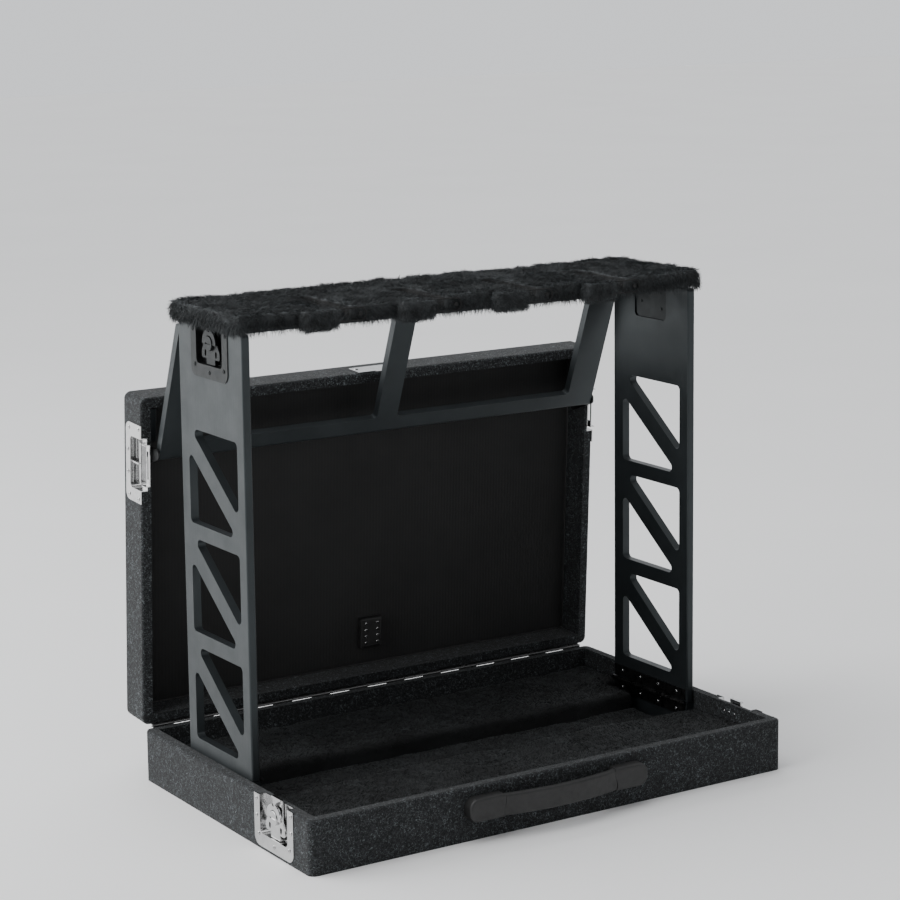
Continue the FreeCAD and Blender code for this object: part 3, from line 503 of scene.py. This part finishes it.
def make_rail_fur():
    """The padded fur cover: a lumpy body under a coat of overlapping tufts."""
    low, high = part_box("rail_fur")
    inset = 3.0 * MM
    low = Vector(low) + Vector((0, inset, 2.0 * MM))
    high = Vector(high) - Vector((0, inset, inset))
    body = prism("rail_fur_body", comb_outline(low, high), low.z, high.z, FUR)
    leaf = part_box("rail_hinge_rail_leaf")
    carve(body, (-LEAF_HALF, leaf[0][1] - 1 * MM, low.z - 0.01),
          (LEAF_HALF, high.y + 0.01, BOARD_UNDER))
    for x0, x1 in both_ends(HOOK_ROOM):
        carve(body, (x0, HOOK_ROOM_Y[0], low.z - 0.01), (x1, HOOK_ROOM_Y[1], HOOK_ROOM_TOP))
    soften(body, 2.6 * MM, 6)

    def outside(places):
        return np.clip((places[:, 2] - low.z) / 0.006, 0, 1)

    ruffle(body, ((22, 2.6 * MM, 1.0), (55, 1.6 * MM, 5.0), (140, 0.8 * MM, 9.0)), outside)

    def groove(places, margin):
        across = np.min([np.abs(places[:, 0] - x) for x in slot_centres()], axis=0)
        return (across < SLOT_HALF + margin) * (places[:, 1] < SLOT_BACK + margin)

    # Faces on the slot walls, back from the front edge, take the near-black fur copy: painted shade
    # where the slots are recessed
    body.data.materials.append(FUR_PAINTED_SHADE)
    for face in body.data.polygons:
        inside = groove(np.array([face.center]), 3 * MM)[0]
        face.material_index = int(inside and face.normal.z < 0.6 and face.center.y > low.y + 4 * MM)

    def coat(places, normals):
        chosen = (places[:, 2] > low.z + 1 * MM).astype(float) * (normals[:, 2] > -0.6)
        return chosen * (1 - 0.85 * groove(places, 4 * MM) * (normals[:, 2] < 0.7))

    def hem(places, normals):
        return (np.abs(places[:, 2] - low.z - 5 * MM) < 5 * MM) * (abs(normals[:, 2]) < 0.8)

    tufts = pile("rail_fur_tufts", body, 110000, 8.5 * MM, 0.6 * MM, 1.05, 7, FUR, coat, 0.35)
    fringe = pile("rail_fur_fringe", body, 22000, 10 * MM, 0.6 * MM, 1.0, 27, FUR, hem, 1.6)
    hand_over((body, tufts, fringe), "rail")
    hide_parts("rail_fur")


def make_finger_pads():
    """Small stuffed pads of the same fur on the rail's front edge."""
    low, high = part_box("finger_pads")
    shift, half = FINGER_PAD_X
    bm = bmesh.new()
    for x in slot_centres():
        start, end = x - shift - half, x - shift + half
        block(bm, (start, low[1] - 0.5 * MM, low[2] - 4 * MM),
              (end, high[1] + 7 * MM, high[2] - 2 * MM))
    body = soften(from_bmesh("finger_pad_bodies", bm, FUR), 2.0 * MM, 32)
    ruffle(body, ((60, 1.6 * MM, 21.0), (150, 0.7 * MM, 25.0)))

    def coat(places, normals):
        return (normals[:, 1] < 0.6).astype(float)

    tufts = pile("finger_pad_tufts", body, 9000, 6.5 * MM, 0.6 * MM, 0.95, 17, FUR, coat, 0.4)
    hand_over((body, tufts), "rail")
    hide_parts("finger_pads")


def make_liner():
    """The tray's plush-covered foam: front pad with a ridge, trough and rear pad."""
    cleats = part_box("hinge_cleats")
    for index, node in enumerate(("front_pad", "trough_pad", "rear_pad")):
        low, high = (Vector(v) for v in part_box(node))
        bm = bmesh.new()
        block(bm, low, high)
        pad = from_bmesh("plush_" + node, bm, LINER)
        for x0, x1 in both_ends(PAD_NOTCH):
            carve(pad, (x0, cleats[0][1] - 3 * MM, 0.0), (x1, cleats[1][1] + 3 * MM, 0.1))
        soften(pad, 4.0 * MM, 10)

        def top_only(places, floor=low.z, roof=high.z):
            return np.clip((places[:, 2] - floor - 4 * MM) / (roof - floor), 0, 1)

        ruffle(pad, ((8, 4.0 * MM, 31.0 + index), (26, 3.0 * MM, 35.0), (90, 1.2 * MM, 39.0)),
               top_only)

        def coat(places, normals, floor=low.z):
            return (places[:, 2] > floor + 5 * MM).astype(float) * (normals[:, 2] > 0.0)

        count = (42000, 18000, 36000)[index]
        nap = pile("plush_nap_" + node, pad, count, 4.5 * MM, 0.7 * MM, 1.1, 51 + index, LINER,
                   coat)
        hand_over((pad, nap), "root")
        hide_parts(node)


def make_lid_lining():
    """Thin cloth stretched over the lid's floor, with slack ripples and a turned-down edge."""
    mesh = NODES["lid_lining"].data
    front = min(mesh.polygons, key=lambda f: f.normal.y * f.area)
    out = front.normal.copy()
    across = Vector((1, 0, 0))
    rise = out.cross(across).normalized()
    if rise.z < 0:
        rise.negate()
    level = front.center.dot(out)
    spread = [v.co for v in mesh.vertices]
    x = [min(p.x for p in spread), max(p.x for p in spread)]
    faced = [p.dot(rise) for p in spread if p.dot(out) > level - 0.5 * MM]
    h = [min(faced), max(faced)]
    columns, rows = 150, 92
    points = []
    for j in range(rows + 1):
        for i in range(columns + 1):
            u, v = i / columns, j / rows
            edge = min(u, 1 - u, v, 1 - v)
            place = across * (x[0] + u * (x[1] - x[0])) + rise * (h[0] + v * (h[1] - h[0]))
            ripple = noise.noise(Vector((u * 9, v * 2.2, 4.0))) * 0.5 * MM
            ripple += noise.noise(Vector((u * 30, v * 7, 9.0))) * 0.25 * MM
            tuck = -1.6 * MM * max(0.0, 1 - edge / 0.006)
            points.append(place + out * (level + 0.1 * MM + ripple * min(1, edge * 25) + tuck))
    wide = columns + 1
    faces = [(j * wide + i, j * wide + i + 1, (j + 1) * wide + i + 1, (j + 1) * wide + i)
             for j in range(rows) for i in range(columns)]
    lining = new_object("lining_cloth", points, faces, LINING)
    lining.data.update()
    if lining.data.polygons[0].normal.dot(out) < 0:
        lining.data.flip_normals()
    backing = lining.modifiers.new("backing", "SOLIDIFY")
    backing.thickness = 0.9 * MM
    backing.offset = -1.0
    smooth(apply_modifiers(lining))
    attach(lining, "lid")
    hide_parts("lid_lining")


def make_carpet_fibres():
    """Loose fibres over both carpets, which soften their outline."""
    def outer(places, normals):
        outside = (np.abs(places) > np.array(TRAY_OUTER)).any(axis=1)
        return (outside | (places[:, 2] > TRAY_RIM)) * (normals[:, 2] > -0.5).astype(float)

    for node, body, count, choose in (("tray_carpet", "root", 26000, outer),
                                      ("lid_carpet", "lid", 30000, None)):
        fibres = pile(node + "_fibres", NODES[node], count, 2.6 * MM, 0.28 * MM, 1.15,
                      71 + len(body), FIBRES, choose)
        hand_over((fibres,), body)


# ------------------------------------------------------------------ stage
CAMERA_AT = Vector((-1.9286, -3.0129, 1.1889))
YAW, PITCH, ROLL = (math.radians(a) for a in (32.416, -9.378, -0.674))
LENS_MM, SENSOR_MM, SHIFT_Y = 104.49, 36.0, -0.100


def make_camera():
    ahead = Vector((math.sin(YAW) * math.cos(PITCH), math.cos(YAW) * math.cos(PITCH),
                    math.sin(PITCH)))
    level = Vector((math.cos(YAW), -math.sin(YAW), 0))
    above = level.cross(ahead)
    right = math.cos(ROLL) * level + math.sin(ROLL) * above
    up = math.cos(ROLL) * above - math.sin(ROLL) * level
    lens = bpy.data.cameras.new("camera")
    lens.lens = LENS_MM
    lens.sensor_width = SENSOR_MM
    lens.shift_y = SHIFT_Y
    camera = bpy.data.objects.new("camera", lens)
    turn = Matrix((right, up, -ahead)).transposed()
    camera.matrix_world = Matrix.Translation(CAMERA_AT) @ turn.to_4x4()
    bpy.context.scene.collection.objects.link(camera)
    bpy.context.scene.camera = camera


def soft_light(name, place, target, size, power):
    lamp = bpy.data.lights.new(name, "AREA")
    lamp.shape = "RECTANGLE"
    lamp.size, lamp.size_y = size
    lamp.energy = power
    obj = bpy.data.objects.new(name, lamp)
    obj.location = place
    obj.rotation_euler = (Vector(target) - Vector(place)).to_track_quat("-Z", "Y").to_euler()
    obj.visible_camera = False
    bpy.context.scene.collection.objects.link(obj)


def make_stage():
    floor = new_object("floor", [(-15, -15, 0), (15, -15, 0), (15, 15, 0), (-15, 15, 0)],
                       [(0, 1, 2, 3)], floor_material())
    make_world()
    sun = bpy.data.lights.new("overhead", "SUN")
    sun.energy = 1.5
    sun.angle = math.radians(60)
    overhead = bpy.data.objects.new("overhead", sun)
    overhead.rotation_euler = (math.radians(-12), math.radians(-18), 0)
    bpy.context.scene.collection.objects.link(overhead)
    soft_light("left_rear", (-3.0, 2.4, 1.5), (-0.2, 0, 0.4), (3.0, 2.4), 95)
    soft_light("left", (-3.2, -0.4, 1.9), (0, 0, 0.3), (1.6, 2.0), 40)
    soft_light("front", (1.4, -3.4, 1.6), (0, 0, 0.2), (2.0, 1.0), 12)


def make_world():
    """A pale room, bright behind the object and dim on the side it is viewed from."""
    world = bpy.data.worlds.new("studio")
    world.use_nodes = True
    tree = world.node_tree
    sky = tree.nodes["Background"]
    place = tree.nodes.new("ShaderNodeTexCoord")
    split = tree.nodes.new("ShaderNodeSeparateXYZ")
    level = tree.nodes.new("ShaderNodeMapRange")
    tree.links.new(place.outputs["Generated"], split.inputs[0])
    tree.links.new(split.outputs["Y"], level.inputs["Value"])
    level.inputs["From Min"].default_value = -0.6
    level.inputs["From Max"].default_value = 0.5
    level.inputs["To Min"].default_value = 0.22
    level.inputs["To Max"].default_value = 1.0
    tree.links.new(level.outputs["Result"], sky.inputs["Strength"])
    sky.inputs["Color"].default_value = (0.95, 0.97, 1.0, 1)
    bpy.context.scene.world = world


def floor_material():
    s = Shader("pale_floor", Roughness=0.9)
    s.feed("Base Color", s.ramp(s.noise(1.5, 2), (0.2, 0.90), (0.8, 0.93)))
    return s.mat


# ------------------------------------------------------------------ build
finish_cad_nodes()
make_camera()
make_stage()
make_rail_fur()
make_finger_pads()
make_liner()
make_lid_lining()
make_carpet_fibres()
